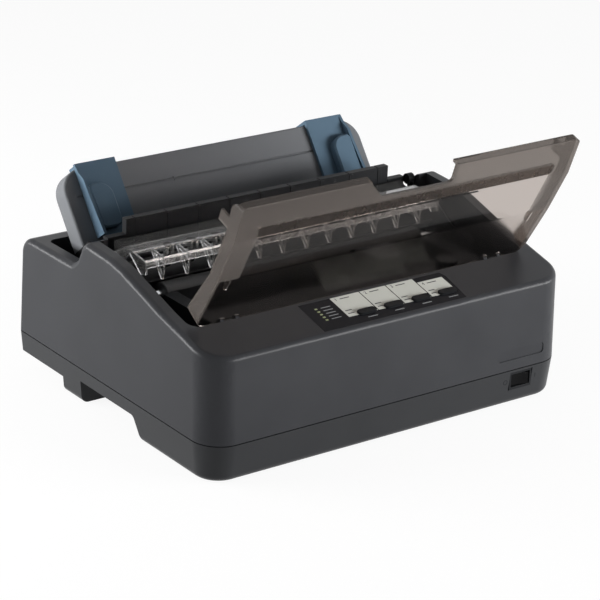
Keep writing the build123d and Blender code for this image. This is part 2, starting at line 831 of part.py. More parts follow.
def gear_axles():
    return joined([stub(feed_idler_place(), 2.5), stub(eject_idler_place(), 2.0),
                   stub(tractor_idler_place(), 2.5)])


# ---------------------------------------------------------------- platen and rollers

def platen_roller():
    half = platen_length / 2
    roller = rod_x(-half, half, platen_y, platen_z, platen_radius)
    roller = chamfer(roller.edges().filter_by(GeomType.CIRCLE), 0.6)
    return roller - rod_x(-half - 1, half + 1, platen_y, platen_z, platen_shaft_radius)


def platen_shaft():
    knob_end = half_width + knob_gap + knob_length - 3
    return rod_x(gear_x0, knob_end, platen_y, platen_z, platen_shaft_radius)


def platen_gear():
    return gear_at(platen_place, platen_teeth, 0.0, platen_shaft_radius)


def ring_points(y, z, radii, count, turn=0.0):
    # points round a centre at evenly spaced angles, the radii taken in turn
    points = []
    for i in range(count):
        a = radians(turn + 360.0 * i / count)
        r = radii[i % len(radii)]
        points.append((y + r * cos(a), z + r * sin(a)))
    return points


def platen_knob():
    x0, x1 = half_width + knob_gap, half_width + knob_gap + knob_length
    r = knob_radius
    knob = plate_x(ring_points(platen_y, platen_z, [r], 20, 9), x0, x0 + 2.5)
    knob += plate_x(ring_points(platen_y, platen_z, [r, r, r - 1.2], 60), x0 + 2.5, x1 - 1.5)
    knob += plate_x(ring_points(platen_y, platen_z, [r - 1.8], 20, 9), x1 - 1.5, x1)
    knob += bar_x(x0 - 10, x0, platen_y, platen_z, 7.5, 12)
    return knob - rod_x(x0 - 11, x1 - 3, platen_y, platen_z, platen_shaft_radius)


def feed_rollers():
    y, z = feed_roller_place()
    axle = bar_x(3 - frame_x, frame_x - 3, y, z, 2.0)
    axle += rod_x(-frame_x - 1, 4 - frame_x, y, z, 2.0) + rod_x(frame_x - 4, frame_x + 1, y, z, 2.0)
    return joined([axle] + [bar_x(x - 14, x + 14, y, z, feed_roller_radius, 12) for x in (-90, -30, 30, 90)])


def eject_xs():
    return [star_first + star_pitch * i for i in range(star_count)]


def eject_shaft():
    shaft = rod_x(gear_x0, 4 - frame_x, eject_y, eject_z, eject_shaft_radius)
    shaft += rod_x(frame_x - 4, frame_x + frame_plate, eject_y, eject_z, eject_shaft_radius)
    shaft += bar_x(3 - frame_x, frame_x - 3, eject_y, eject_z, eject_shaft_radius)
    rollers = [bar_x(x - 4.5, x + 4.5, eject_y, eject_z, eject_roller_radius, 12) for x in eject_xs()]
    shaft += joined(rollers)
    shaft += gear_at(eject_place, eject_teeth, gear_turns()["eject"], eject_shaft_radius - 0.5)
    return shaft


def star_place():
    # above the paper that leaves the platen for the tear-off edge
    reach = eject_roller_radius + star_radius + 0.4
    return eject_y - reach * 0.50, eject_z + reach * 0.866


def star_wheels():
    y, z = star_place()
    x0, x1 = eject_xs()[0] - 8, eject_xs()[-1] + 8
    axle = bar_x(x0 + 2, x1 - 2, y, z, 0.9, 6) + rod_x(x0, x0 + 3, y, z, 1.0) + rod_x(x1 - 3, x1, y, z, 1.0)
    points = ring_points(y, z, [star_radius, star_radius - 1.4], 16)
    return joined([axle] + [plate_x(points, x - 0.6, x + 0.6) for x in eject_xs()])


def star_holders():
    y, z = star_place()
    pieces = []
    for x in eject_xs():
        cheeks = [(y - 3.0, z - 2.5), (y + 3.0, z - 2.5), (y + 4.6, z + 2.0), (y + 2.0, z + 5.6), (y - 5.0, z + 5.6),
                  (y - 6.0, z + 1.0)]
        body = plate_x(cheeks, x - 3.6, x + 3.6)
        body -= block(x - 1.3, x + 1.3, y - 9, y + 9, z - 6, z + 4.9 + 0.3)
        body -= block(x - 5, x + 5, y - 1.0, y + 1.0, z - 4, z + 1.0)
        pieces.append(body)
    return group(pieces)


# ---------------------------------------------------------------- clear eject guide

def tension_unit():
    # clear frame over the paper's way out: two rails, end plates and open three-sided ribs
    top = 131.0
    half = frame_x - 4.5
    y_star, z_star = star_place()
    rear_rail = plate_x([(y_star - 5.0, z_star + 5.6), (y_star + 9.0, z_star + 5.6), (y_star + 9.0, z_star + 7.4),
                         (y_star - 5.0, z_star + 7.4)], -half, half)
    front_rail = plate_x([(-3.0, top - 5.0), (-1.2, top - 5.0), (1.5, top), (-3.0, top)], -half, half)
    end = [(42.0, 126.0), (33.0, 118.3), (20.5, z_star + 5.0), (4.0, 119.0), (-3.0, 121.0), (-3.0, top),
           (y_star - 2, z_star + 7.4), (26.0, z_star + 7.4)]
    unit = rear_rail + front_rail
    unit += both_sides(plate_x(end, half - 2.0, half))
    unit += both_sides(block(half - 1, frame_x + 1.0, 34.3, 37.7, 119.8, 123.2))
    low = platen_z + platen_radius + 3.4
    rib = [(-0.6, low), (1.2, low), (16.0, z_star + 5.6), (14.0, z_star + 7.4), (-3.0, top), (-3.0, top - 3.0)]
    hole = [(-0.3, low + 3.6), (11.6, z_star + 4.4), (-1.4, top - 4.2)]
    for i in range(rib_count):
        x = (i - (rib_count - 1) / 2) * rib_pitch
        unit += plate_x(rib, x - 0.7, x + 0.7) - plate_x(hole, x - 1, x + 1)
    return unit


def tear_off_bar():
    half = frame_x - 7.0
    blade = [(29.0, 126.2), (30.2, 124.6), (46.0, 131.6), (46.0, 133.4), (44.0, 134.0)]
    bar = plate_x(blade, -half, half)
    feet = [(38.0, separator_bottom), (46.0, separator_bottom), (46.0, 132.0), (38.0, 128.6)]
    return bar + both_sides(plate_x(feet, half - 3, half))


def paper_separator():
    y0, y1 = separator_y, separator_y + separator_depth
    low = separator_bottom
    half = separator_half
    front = block(-half, half, y0, y0 + 2.4, low, separator_top)
    top = block(-half, half, y0, y1, separator_top - 2.4, separator_top)
    ends = both_sides(block(half - 2.4, half, y0, y1, low, separator_top))
    bar = front + top + ends
    for i in range(separator_grooves):
        x = separator_middle + separator_pitch * (i - (separator_grooves - 1) / 2)
        bar += block(x - 0.9, x + 0.9, y0 + 1, y1, low, separator_top - 1)
        bar += block(x + 0.4, x + separator_strip, y0 - 0.5, y0 + 1, low, separator_top - 1.4)
        bar -= block(x - 0.4, x + 0.4, y0 - 1, y1 + 1, separator_top - 0.8, separator_top + 1)
    shelf = block(half, separator_shelf_half, y0 - 0.6, y1, separator_shelf_top - 2.4, separator_shelf_top)
    shelf += block(half, separator_shelf_half, y0, y0 + 2.4, low, separator_shelf_top)
    shelf += block(separator_shelf_half - 2.4, separator_shelf_half, y0, y1 - 1.6, low, separator_shelf_top)
    return bar + both_sides(shelf)


def round_platen(angle, reach):
    return platen_y + reach * cos(radians(angle)), platen_z + reach * sin(radians(angle))


def sheet_chute():
    # leads single sheets forward from the raised guide, in under the platen's rear
    near, far = platen_radius + paper_gap, platen_radius + paper_gap + 1.6
    lower = [round_platen(a, near) for a in (-45, -32, -20)] + [(67.0, 101.0), (67.0, 99.4)]
    lower += [round_platen(a, far) for a in (-24, -34, -45)]
    upper = [round_platen(a, near) for a in (48, 30, 12)] + [(15.4, 100.6), (60.0, 105.0), (60.0, 106.2)]
    upper += [(16.2, 102.0)] + [round_platen(a, near + 1.2) for a in (14, 30, 48)]
    web = [(16.0, 95.0), (60.0, 99.5), (60.0, 106.2), (16.2, 102.0)]
    skin = plate_x(lower, -frame_x, frame_x) + plate_x(upper, -frame_x, frame_x)
    return skin + both_sides(plate_x(web, frame_x - 1.2, frame_x))


# ---------------------------------------------------------------- carriage and head

def carriage_shaft():
    return rod_x(-frame_x, frame_x, shaft_y, shaft_z, carriage_shaft_radius)


def carriage_rail():
    rail = plate_x([(-76, 69), (-62, 69), (-62, 67.5), (-74.5, 67.5), (-74.5, 58), (-76, 58)],
                   -frame_x, frame_x)
    return rail


def carriage():
    x0, x1 = carriage_x - carriage_length / 2, carriage_x + carriage_length / 2
    top = shaft_z + 10
    body = plate_x([(-54, shaft_z - 8.5), (-31, shaft_z - 8.5), (-31, top), (-54, top)], x0, x1)
    body -= rod_x(x0 - 1, x1 + 1, shaft_y, shaft_z, carriage_shaft_radius + fit)
    foot = [(-74, 69.35), (-64, 69.35), (-54, 74), (-54, 78), (-66, 73.5), (-74, 72.5)]
    body += plate_x(foot, carriage_x - 12, carriage_x + 12)
    clamp_y = shaft_y - pulley_radius
    body += block(carriage_x - 9, carriage_x + 9, clamp_y - belt_thickness - 3, clamp_y - belt_thickness - 0.3,
                  belt_height - belt_width / 2 - 1, shaft_z - 8)
    body += block(carriage_x - 9, carriage_x + 9, clamp_y + 0.3, clamp_y + 3,
                  belt_height - belt_width / 2 - 1, shaft_z - 8)
    body += block(carriage_x - 9, carriage_x + 9, clamp_y - 4, clamp_y + 3,
                  belt_height + belt_width / 2 + 0.4, shaft_z - 8)
    return body


def print_head():
    half = head_width / 2
    base = shaft_z + 10
    top = base + 24
    nose_y = platen_y - platen_radius - head_nose_gap
    body = block(carriage_x - half, carriage_x + half, -50, -24, base, top)
    for i in range(5):
        y = -48.5 + 3.6 * i
        body -= block(carriage_x - half - 1, carriage_x - half + 7, y, y + 2.0, base + 3, top + 1)
        body -= block(carriage_x + half - 7, carriage_x + half + 1, y, y + 2.0, base + 3, top + 1)
    nose = plate_x([(-24.5, base + 2), (nose_y - 4, platen_z - 6), (nose_y, platen_z - 5), (nose_y, platen_z + 5),
                    (nose_y - 4, platen_z + 6), (-24.5, top - 4)], carriage_x - 6, carriage_x + 6)
    body += nose
    body += block(carriage_x - 12, carriage_x + 12, nose_y - 3.6, nose_y - 2.8, platen_z - 9, platen_z + 9)
    return body


def motor(radius, length):
    can = extrude(Pos(0, 0, -length / 2) * RegularPolygon(radius, 16), length)
    flange = Pos(0, 0, length / 2 - 0.6) * Box(2 * radius + 12, 11, 1.2)
    boss = extrude(Pos(0, 0, length / 2 - 0.3) * RegularPolygon(5.0, 8), 1.6)
    return can + flange + boss


def carriage_motor():
    length = 13.6
    body = Pos(-pulley_x, shaft_y, pan_height - length / 2) * motor(17.5, length)
    body += rod_z(pan_height - 1, belt_height + 4, -pulley_x, shaft_y, 2.0)
    return body


def drive_pulley():
    z0, z1 = belt_height - belt_width / 2, belt_height + belt_width / 2
    wheel = rod_z(z0 - 0.2, z1 + 0.2, -pulley_x, shaft_y, pulley_radius - 0.1)
    for z in (z0 - 1.2, z1 + 0.2):
        wheel += bar_z(z, z + 1.0, -pulley_x, shaft_y, pulley_radius + 2, 16)
    return wheel - rod_z(z0 - 3, z1 + 3, -pulley_x, shaft_y, 2.0 + fit)


def idler_pulley():
    z0, z1 = belt_height - belt_width / 2, belt_height + belt_width / 2
    wheel = rod_z(z0 - 0.2, z1 + 0.2, pulley_x, shaft_y, pulley_radius - 0.1)
    for z in (z0 - 1.2, z1 + 0.2):
        wheel += bar_z(z, z + 1.0, pulley_x, shaft_y, pulley_radius + 2, 16)
    return wheel - rod_z(z0 - 3, z1 + 3, pulley_x, shaft_y, 2.0 + fit)


def idler_post():
    z0 = pan_height + frame_plate
    post = rod_z(z0, belt_height + 4, pulley_x, shaft_y, 2.0)
    post += bar_z(z0, belt_height - belt_width / 2 - 1.5, pulley_x, shaft_y, 5.0, 8)
    return post + block(pulley_x - 8, pulley_x + 8, shaft_y - 10, shaft_y + 10, z0, z0 + 2)


def timing_belt():
    outer, inner = pulley_radius + belt_thickness, pulley_radius
    z0, z1 = belt_height - belt_width / 2, belt_height + belt_width / 2

    def loop(r):
        return extrude(Pos(0, shaft_y, z0) * SlotCenterToCenter(2 * pulley_x, 2 * r), z1 - z0)
    return loop(outer) - loop(inner)


# ---------------------------------------------------------------- ribbon

def ribbon_cartridge():
    z0, z1 = cartridge_bottom, cartridge_bottom + cartridge_height
    half, inner = cartridge_half, cartridge_half - cartridge_arm
    tip = platen_y - platen_radius - 4.0
    shape = [(-half, cartridge_front), (half, cartridge_front), (half, tip), (inner, tip), (inner, cartridge_back),
             (-inner, cartridge_back), (-inner, tip), (-half, tip)]
    body = plate_z(shape, z0, z1, [5, 5, 0, 0, 0, 0, 0, 0])
    x, y = knob_place()
    body -= rod_z(z1 - 8, z1 + 1, x, y, 2.5 + fit)
    band_y = platen_y - platen_radius - 1.8
    for side in (-1, 1):
        xs = sorted((side * (inner + 1), side * (inner + 3)))
        body += block(xs[0], xs[1], tip - 1, band_y + 0.2, z0 + 0.5, z1 - 0.5)
    body += block(-inner - 3, inner + 3, band_y, band_y + 0.2, z0 + 0.5, z1 - 0.5)
    return body


def knob_place():
    return cartridge_half - 34.0, (cartridge_front + cartridge_back) / 2


def ribbon_knob():
    x, y = knob_place()
    z = cartridge_bottom + cartridge_height
    knob = plate_z(ring_points(x, y, [9.0, 9.0, 8.0], 36), z + 0.4, z + 4.6)
    return knob + rod_z(z - 7, z + 0.5, x, y, 2.5)


# ---------------------------------------------------------------- levers

def lever_pivot():
    return 30.0, 92.0


def release_lever():
    # lets the feed rollers go; its knob stands in the slot in the right hump
    y, z = lever_pivot()
    x0 = frame_x + frame_plate + 0.3
    arm = plate_x([(y - 5, z - 5), (y + 5, z - 5), (47.5, 132.0), (40.5, 133.0)], x0, x0 + 2.2)
    arm += rod_x(frame_x - 1, x0 + 1, y, z, 2.0)
    grip = bar_x(x0 - 2.8, x0 + 3.2, lever_grip_y, lever_grip_z, lever_grip_radius, 12)
    neck = plate_x([(41, 130), (47.5, 130), (48.5, lever_grip_z), (40.5, lever_grip_z)], x0, x0 + 2.2)
    return arm + grip + neck


def thickness_lever():
    # turns the eccentric carriage shaft end; clamped beside the right frame
    x0 = frame_x - 7.0
    ring = bar_x(x0, x0 + 4, shaft_y, shaft_z, carriage_shaft_radius + 3, 12)
    arm = plate_x([(shaft_y - 3, shaft_z + 4), (shaft_y + 3, shaft_z + 4), (shaft_y + 2.4, 108), (shaft_y - 2.4, 108)],
                  x0, x0 + 4)
    tip = bar_x(x0 - 1.5, x0 + 5, shaft_y, 110.0, 3.4)
    return ring + arm + tip - rod_x(x0 - 2, x0 + 6, shaft_y, shaft_z, carriage_shaft_radius + fit)


# ---------------------------------------------------------------- paper guide

def on_guide(x, along, depth):
    # a place on the raised guide: across, down from its top edge, and back from its face
    a = radians(guide_lean)
    y = guide_top_y - along * sin(a) + depth * cos(a)
    z = guide_top_z - along * cos(a) - depth * sin(a)
    return Pos(x, y, z) * Rot(90 - guide_lean, 0, 0)


def guide_box(x0, x1, s0, s1, d0, d1, radii=None):
    # a block in the guide's own directions: s runs down from the top edge, d runs back
    shape = [(x0, -s1), (x1, -s1), (x1, -s0), (x0, -s0)]
    return extrude(on_guide(0, 0, d1) * outline(shape, radii or 0), d1 - d0)


def paper_guide():
    half, length, deep = guide_half, guide_length, guide_thickness
    body = guide_box(-half, half, 0, length, 0, deep, [3.0, 3.0, 20.0, 20.0])
    rim = [e for e in body.edges() if edge_depth(e) < 0.05]
    body = fillet(rim, 2.2)
    inner = guide_box(-half + guide_wall, half - guide_wall, guide_wall, length - guide_wall, guide_wall, deep + 1,
                      [0, 0, 18.0, 18.0])
    body -= inner
    # bosses for the rod, and stiffening ribs behind the face
    along = length - guide_rod_rise
    for x in (-half + guide_wall, half - guide_wall - 5):
        body += guide_box(x, x + 5, along - 5, along + 5, guide_wall - 0.5, deep)
    for x in (-90, -30, 30, 90):
        body += guide_box(x - 0.9, x + 0.9, guide_wall, length - 18, guide_wall - 0.5, deep - 4)
    body -= rod_x(-half - 1, half + 1, guide_rod_place()[0], guide_rod_place()[1], guide_rod_radius + fit)
    # groove that the blue guides run in, and its centre mark
    body -= guide_box(-half + 10, half - 10, 22.6, 24.4, -1, 1.5)
    body -= guide_box(-49, -46, 21.6, 25.2, -1, 1.0)
    return body


def edge_depth(edge):
    # how far the deepest point of an edge lies behind the guide's face
    a = radians(guide_lean)
    worst = 0.0
    for t in (0.0, 0.5, 1.0):
        p = edge @ t
        worst = max(worst, (p.Y - guide_top_y) * cos(a) - (p.Z - guide_top_z) * sin(a))
    return worst


def guide_rod():
    y, z = guide_rod_place()
    reach = frame_x + frame_plate + 1.0
    return rod_x(-reach, reach, y, z, guide_rod_radius)


def edge_guide(side):
    # blue paper edge guide: plate over the guide's face, hook over its top edge,
    # outer wall and a raised pad that the paper's edge runs along
    middle = side * edge_guide_x
    half = edge_guide_width / 2
    up = edge_guide_height
    gap = 0.3
    x0, x1 = middle - half, middle + half
    plate = guide_box(x0, x1, -up, edge_guide_length, -up - gap, -gap)
    plate += guide_box(x0, x1, -up, -gap, -up - gap, guide_thickness - 4)
    plate += guide_box(middle - 8, middle + 8, 22.9, 24.1, -up, 1.2)
    # outer wall with a curved crest
    edge = middle + side * half
    wx0, wx1 = sorted((edge, edge + side * 2.6))
    crest = [(-up, -gap), (-up, -up), (4, -up - 1.5), (12, -9.0), (24, -9.5), (edge_guide_length, -13.0),
             (edge_guide_length, -gap)]
    plate += guide_slab(crest, wx0, wx1)
    # raised pad
    px0, px1 = sorted((edge - side * 0.1, edge - side * 20.0))
    pad = guide_box(px0, px1, 17.0, 55.0, -10.5, -up, pad_corner_radii(side))
    pad = chamfer([e for e in pad.edges() if pad_rim(e)], 1.4)
    return plate + pad


def pad_corner_radii(side):
    # corners in the order near foot, far foot, far top, near top
    return [4.0, 6.0, 12.0, 4.0] if side < 0 else [6.0, 4.0, 4.0, 12.0]


def pad_rim(edge):
    a = radians(guide_lean)
    for t in (0.0, 0.5, 1.0):
        p = edge @ t
        if (p.Y - guide_top_y) * cos(a) - (p.Z - guide_top_z) * sin(a) > -10.4:
            return False
    return True


def guide_slab(points, x0, x1):
    # an outline of (down, back) places on the guide, with its thickness along x
    a = radians(guide_lean)
    shape = [(guide_top_y - s * sin(a) + d * cos(a), guide_top_z - s * cos(a) - d * sin(a)) for s, d in points]
    return plate_x(shape, x0, x1)


# ---------------------------------------------------------------- tractor

def tractor_shaft():
    half = tractor_shaft_half
    bar = block(-frame_x + 1, frame_x - 1, tractor_y - half, tractor_y + half, tractor_z - half, tractor_z + half)
    r = tractor_shaft_half * 1.3
    bar += rod_x(gear_x0, -frame_x + 2, tractor_y, tractor_z, r)
    bar += rod_x(frame_x - 2, frame_x + frame_plate + 0.5, tractor_y, tractor_z, r)
    bar += gear_at(tractor_place, tractor_teeth, gear_turns()["tractor"], r - 0.5)
    return bar


def tractor_rail():
    return rod_x(-frame_x, frame_x, tractor_rear_y, tractor_rear_z, tractor_rail_radius)


def tractor_slope():
    return degrees(atan2(tractor_rear_z - tractor_z, tractor_rear_y - tractor_y))


def on_tractor(x, along, up):
    # along runs back from the drive shaft, up is square to the tractor's top
    return Pos(x, tractor_y, tractor_z) * Rot(tractor_slope(), 0, 0) * Pos(0, along, up)


def tractor_unit(side):
    span = hypot(tractor_rear_y - tractor_y, tractor_rear_z - tractor_z)
    x, half = side * tractor_unit_x, tractor_unit_width / 2
    shape = []
    for along, up in ((-10, 4), (-5.5, 8.5), (span + 5.5, 8.5), (span + 10, 4), (span + 10, -4), (span + 5.5, -8.5),
                      (-5.5, -8.5), (-10, -4)):
        spot = on_tractor(0, along, up).position
        shape.append((spot.Y, spot.Z))
    body = plate_x(shape, x - half, x + half)
    body -= bar_x(x - half - 1, x + half + 1, tractor_y, tractor_z, tractor_shaft_half * 1.5 + clear, 12)
    body -= rod_x(x - half - 1, x + half + 1, tractor_rear_y, tractor_rear_z, tractor_rail_radius + fit)
    # belt of pins on the inner half of the top
    bx = x - side * half * 0.45
    belt = on_tractor(bx, span / 2, 8.5) * Box(6, span, 1.2)
    for i in range(3):
        belt += on_tractor(bx, 1.0 + 12.7 * i, 8.9) * extrude(RegularPolygon(1.5, 6), 2.6, taper=12)
    # hinge ears for the lid on the outer edge
    ears = [on_tractor(x + side * (half - 1.5), a, 10.2) * Box(3, 4, 4) for a in (2, span - 2)]
    body += belt + ears[0] + ears[1]
    body -= on_tractor(x + side * (half - 1.5), span / 2, 10.6) * Rot(90, 0, 0) * Cylinder(0.85, span + 8)
    return body


def lid_pivot(side):
    # a point on the lid's hinge line, which runs along the tractor
    span = hypot(tractor_rear_y - tractor_y, tractor_rear_z - tractor_z)
    half = tractor_unit_width / 2
    return (on_tractor(side * (tractor_unit_x + half - 1.5), span / 2, 10.6)).position


def tractor_lid(side):
    span = hypot(tractor_rear_y - tractor_y, tractor_rear_z - tractor_z)
    x, half = side * tractor_unit_x, tractor_unit_width / 2
    lid = on_tractor(x - side * 1.2, span / 2, 13.2) * Box(tractor_unit_width - 2.4, span, 1.6)
    bx = x - side * half * 0.45
    lid -= on_tractor(bx, span / 2, 13.2) * Box(3.6, span - 6, 4)
    pin = Rot(90, 0, 0) * Cylinder(0.8, span)
    lid += on_tractor(x + side * (half - 1.5), span / 2, 10.6) * pin
    lid += on_tractor(x + side * (half - 1.5), span / 2, 12.1) * Box(2.4, span - 10, 3.2)
    return lid


# ---------------------------------------------------------------- electrics

def rocker_pivot():
    return rocker_x, front_y + 7.0


def power_rocker():
    # rocks about an upright pin; it rests with its left end pressed in
    w, h = rocker_width / 2 - 2.0, rocker_height / 2 - 1.8
    x, y = rocker_pivot()
    shape = [(x - w, y - 5.6), (x, y - 4.4), (x + w, y - 5.6), (x + w - 1.5, y + 2), (x - w + 1.5, y + 2)]
    rocker = plate_z(shape, rocker_z - h, rocker_z + h) + rod_z(rocker_z - h - 1, rocker_z + h + 1, x, y, 1.3)
    return Pos(x, y) * Rot(0, 0, -rocker_swing) * Pos(-x, -y) * rocker


def switch_body():
    w, h = rocker_width / 2 + 1.0, rocker_height / 2 + 1.0
    x, y = rocker_pivot()
    front = front_y + 1.0
    body = block(x - w, x + w, front, front + 17, rocker_z - h, rocker_z + h)
    body -= block(x - w + 1.8, x + w - 1.8, front - 1, y + 5.0, rocker_z - h + 2.2, rocker_z + h - 2.2)
    return body - rod_z(rocker_z - h + 1.0, rocker_z + h - 1.0, x, y, 1.3 + fit)


def power_inlet():
    x, half_x, _, z0, z1 = rear_cutouts()[0]
    y1 = rear_y - 1.5
    body = block(x - half_x + 0.3, x + half_x - 0.3, y1 - 22, y1, z0 + 0.3, z1 - 0.3)
    shape = [(x - 12, z0 + 2.2), (x + 12, z0 + 2.2), (x + 12, z1 - 6), (x + 8, z1 - 2.2), (x - 8, z1 - 2.2),
             (x - 12, z1 - 6)]
    body -= extrude(Plane.XZ.offset(-y1 - 1) * outline(shape), 16)
    for dx, dz in ((-7, -1.5), (0, 2.5), (7, -1.5)):
        body += block(x + dx - 1.0, x + dx + 1.0, y1 - 16, y1 - 3, (z0 + z1) / 2 + dz - 2, (z0 + z1) / 2 + dz + 2)
    return body


def interface_sockets():
    pieces = []
    y1 = rear_y - 1.0
    for i, (x, half_x, _, z0, z1) in enumerate(rear_cutouts()[1:]):
        body = block(x - half_x + 0.4, x + half_x - 0.4, y1 - 16, y1, z0 + 0.4, z1 - 0.4)
        body -= block(x - half_x + 2.4, x + half_x - 2.4, y1 - 8, y1 + 1, z0 + 2.4, z1 - 2.4)
        body += block(x - half_x + 4.6, x + half_x - 4.6, y1 - 9, y1 - 2, (z0 + z1) / 2 - 1.3, (z0 + z1) / 2 + 1.3)
        pieces.append(body)
    return group(pieces)


def control_board():
    z = board_z
    board = block(-132, 40, 60, rear_y - 14, z, z + 1.6)
    for x, y, w, d, h in ((-100, 90, 22, 22, 2.6), (-60, 80, 16, 16, 2.4), (-20, 96, 12, 20, 3.0),
                          (-40, 110, 8, 8, 6.0), (10, 84, 14, 9, 3.0), (-112, 70, 10, 10, 6.0)):
        board += block(x - w / 2, x + w / 2, y - d / 2, y + d / 2, z + 1.6, z + 1.6 + h)
    return board


def power_supply():
    z = supply_z
    board = block(-60, 110, -124, -52, z, z + 1.6)
    board += block(20, 56, -110, -78, z + 1.6, z + 24)
    for x, y, r, h in ((-30, -108, 9, 24), (-30, -84, 9, 24), (80, -108, 6, 16), (80, -92, 6, 16)):
        board += bar_z(z + 1.6, z + 1.6 + h, x, y, r, 10)
    board += block(-10, 10, -118, -60, z + 1.6, z + 20)
    return board


def feed_motor():
    y, z = feed_pinion_place()
    length = 22.0
    body = Pos(-frame_x + length / 2, y, z) * Rot(0, -90, 0) * Rot(0, 0, 90) * motor(17.0, length)
    return body + rod_x(gear_x0, -frame_x + 5, y, z, 2.0)


def feed_pinion():
    return gear_at(feed_pinion_place(), feed_pinion_teeth, gear_turns()["pinion"], 2.0)


def all_pieces():
    turns = gear_turns()
    pieces = {
        "lower_case": lower_case(), "upper_case": upper_case(), "base_pads": base_pads(), "screws": screws(),
        "chassis_pan": chassis_pan(), "side_frame_left": side_frame(-1), "side_frame_right": side_frame(1),
        "printer_cover": printer_cover(),
        "control_panel_plate": control_panel_plate(), "button_board": button_board(),
        "power_switch_body": switch_body(), "power_switch_rocker": power_rocker(),
        "paper_guide": paper_guide(), "guide_rod": guide_rod(),
        "edge_guide_left": edge_guide(-1), "edge_guide_right": edge_guide(1),
        "paper_separator": paper_separator(), "tear_off_bar": tear_off_bar(), "eject_guide": tension_unit(),
        "star_wheels": star_wheels(), "star_wheel_holders": star_holders(), "eject_shaft": eject_shaft(),
        "platen_roller": platen_roller(), "platen_shaft": platen_shaft(), "platen_gear": platen_gear(),
        "platen_knob": platen_knob(), "feed_rollers": feed_rollers(), "sheet_chute": sheet_chute(),
        "eject_idler_gear": gear_at(eject_idler_place(), eject_idler_teeth, turns["eject_idler"], 2.0 + fit),
        "feed_idler_gear": gear_at(feed_idler_place(), feed_idler_teeth, turns["feed_idler"], 2.5 + fit),
        "tractor_idler_gear": gear_at(tractor_idler_place(), tractor_idler_teeth, turns["tractor_idler"],
                                      2.5 + fit),
        "feed_motor": feed_motor(), "feed_pinion": feed_pinion(),
        "carriage_shaft": carriage_shaft(), "carriage_rail": carriage_rail(), "carriage": carriage(),
        "print_head": print_head(), "carriage_motor": carriage_motor(), "drive_pulley": drive_pulley(),
        "idler_pulley": idler_pulley(), "timing_belt": timing_belt(),
        "ribbon_cartridge": ribbon_cartridge(), "ribbon_knob": ribbon_knob(),
        "release_lever": release_lever(), "thickness_lever": thickness_lever(),
        "tractor_shaft": tractor_shaft(), "tractor_rail": tractor_rail(),
        "power_inlet": power_inlet(), "interface_sockets": interface_sockets(),
        "control_board": control_board(), "power_supply": power_supply(),
    }
    for i, x in enumerate(button_xs):
        pieces[f"panel_button_{i + 1}"] = panel_button(x)
    for name, side in (("left", -1), ("right", 1)):
        pieces[f"tractor_unit_{name}"] = tractor_unit(side)
        pieces[f"tractor_lid_{name}"] = tractor_lid(side)
    return pieces


def origin_shift():
    # the knob reaches past the right side, the open cover past the front
    cover_front = min(y for y, z in cover_points())
    left, right = -half_width, half_width + knob_gap + knob_length
    return Pos(-(left + right) / 2, -(cover_front + rear_y) / 2, 0)


os.makedirs("parts", exist_ok=True)
shift = origin_shift()
print("shift", shift.position)
for name, piece in all_pieces().items():
    export_step(shift * piece, f"parts/{name}.step")
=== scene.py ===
import math

import bmesh
import bpy
from mathutils import Matrix, Vector


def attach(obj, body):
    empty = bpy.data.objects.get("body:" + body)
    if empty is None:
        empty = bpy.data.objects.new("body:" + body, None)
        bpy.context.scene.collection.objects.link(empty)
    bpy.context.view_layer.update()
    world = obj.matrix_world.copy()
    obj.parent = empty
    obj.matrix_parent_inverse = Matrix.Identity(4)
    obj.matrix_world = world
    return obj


# Narrow dot matrix printer, cover open and paper guide raised. Metres, +Y to the rear.
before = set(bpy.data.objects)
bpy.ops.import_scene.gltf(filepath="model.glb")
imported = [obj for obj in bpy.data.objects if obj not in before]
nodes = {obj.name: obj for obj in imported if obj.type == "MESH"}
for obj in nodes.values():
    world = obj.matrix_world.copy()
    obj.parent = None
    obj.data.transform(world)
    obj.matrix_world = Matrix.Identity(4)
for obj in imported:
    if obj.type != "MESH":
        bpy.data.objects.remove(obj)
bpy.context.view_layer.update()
print("frame loaded", len(nodes), "nodes")

# the case's own middle in the row frame, in mm; every place below is measured from it
caseMiddle = (-7.9, 6.422, 0.0)


def place(x, y, z):
    return Vector((x + caseMiddle[0], y + caseMiddle[1], z + caseMiddle[2])) / 1000


# ---- materials ----

def linear(hexColour):
    # sRGB hex to linear colour
    parts = [int(hexColour[i:i + 2], 16) / 255 for i in (1, 3, 5)]
    return [c / 12.92 if c <= 0.04045 else ((c + 0.055) / 1.055) ** 2.4 for c in parts] + [1.0]


def addNode(tree, kind, settings=None, links=None, **props):
    # one node with its settings, its input values and the sockets that feed it
    made = tree.nodes.new(kind)
    for key, value in props.items():
        setattr(made, key, value)
    for key, value in (settings or {}).items():
        made.inputs[key].default_value = value
    for key, socket in (links or {}).items():
        tree.links.new(socket, made.inputs[key])
    return made


def calc(tree, operation, settings, links):
    # the result of one math node
    return addNode(tree, "ShaderNodeMath", settings, links, operation=operation).outputs[0]


def remap(tree, factor, settings):
    # the result of one map range node: 1 and 2 are its range of input, 3 and 4 that of output
    return addNode(tree, "ShaderNodeMapRange", settings, {0: factor}).outputs[0]


def seenDirectly(tree):
    # 1 for the camera's rays and for those that a piece reflects or lets through, 0 for the light's
    rays = addNode(tree, "ShaderNodeLightPath").outputs
    bent = calc(tree, "MAXIMUM", {}, {0: rays["Is Glossy Ray"], 1: rays["Is Transmission Ray"]})
    return calc(tree, "MAXIMUM", {}, {0: rays["Is Camera Ray"], 1: bent})


